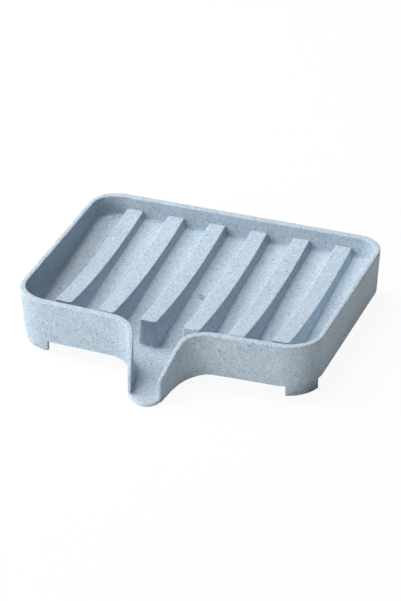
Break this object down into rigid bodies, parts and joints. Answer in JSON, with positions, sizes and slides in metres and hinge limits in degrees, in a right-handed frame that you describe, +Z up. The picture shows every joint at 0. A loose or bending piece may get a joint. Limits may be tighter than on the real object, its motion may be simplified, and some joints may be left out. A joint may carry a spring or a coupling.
{
  "type": "soap dish",
  "caption": "Shallow rectangular soap dish with a ribbed, sloping floor, rounded corners, low feet and a drain spout at the front.",
  "frame": {"origin": "middle of the footprint box, on the surface that the feet stand on", "axes": "+X along the tray's length, to the right; +Y to the back, away from the spout; +Z up"},
  "size_m": [0.135, 0.1292, 0.0246],
  "materials": {
    "tray_floor": "fine moulded, with straw flecks",
    "rim_wall": "fine moulded, with straw flecks",
    "spout": "fine moulded, with straw flecks",
    "ribs": "fine moulded, with straw flecks",
    "feet": "fine moulded, with straw flecks"
  },
  "bodies": {
    "root": {"tray_floor": "tray_floor", "rim_wall": "rim_wall", "spout": "spout", "rib_1": "ribs", "rib_2": "ribs", "rib_3": "ribs", "rib_4": "ribs", "rib_5": "ribs", "rib_6": "ribs", "foot_front_left": "feet", "foot_front_right": "feet", "foot_back_left": "feet", "foot_back_right": "feet"}
  },
  "joints": []
}
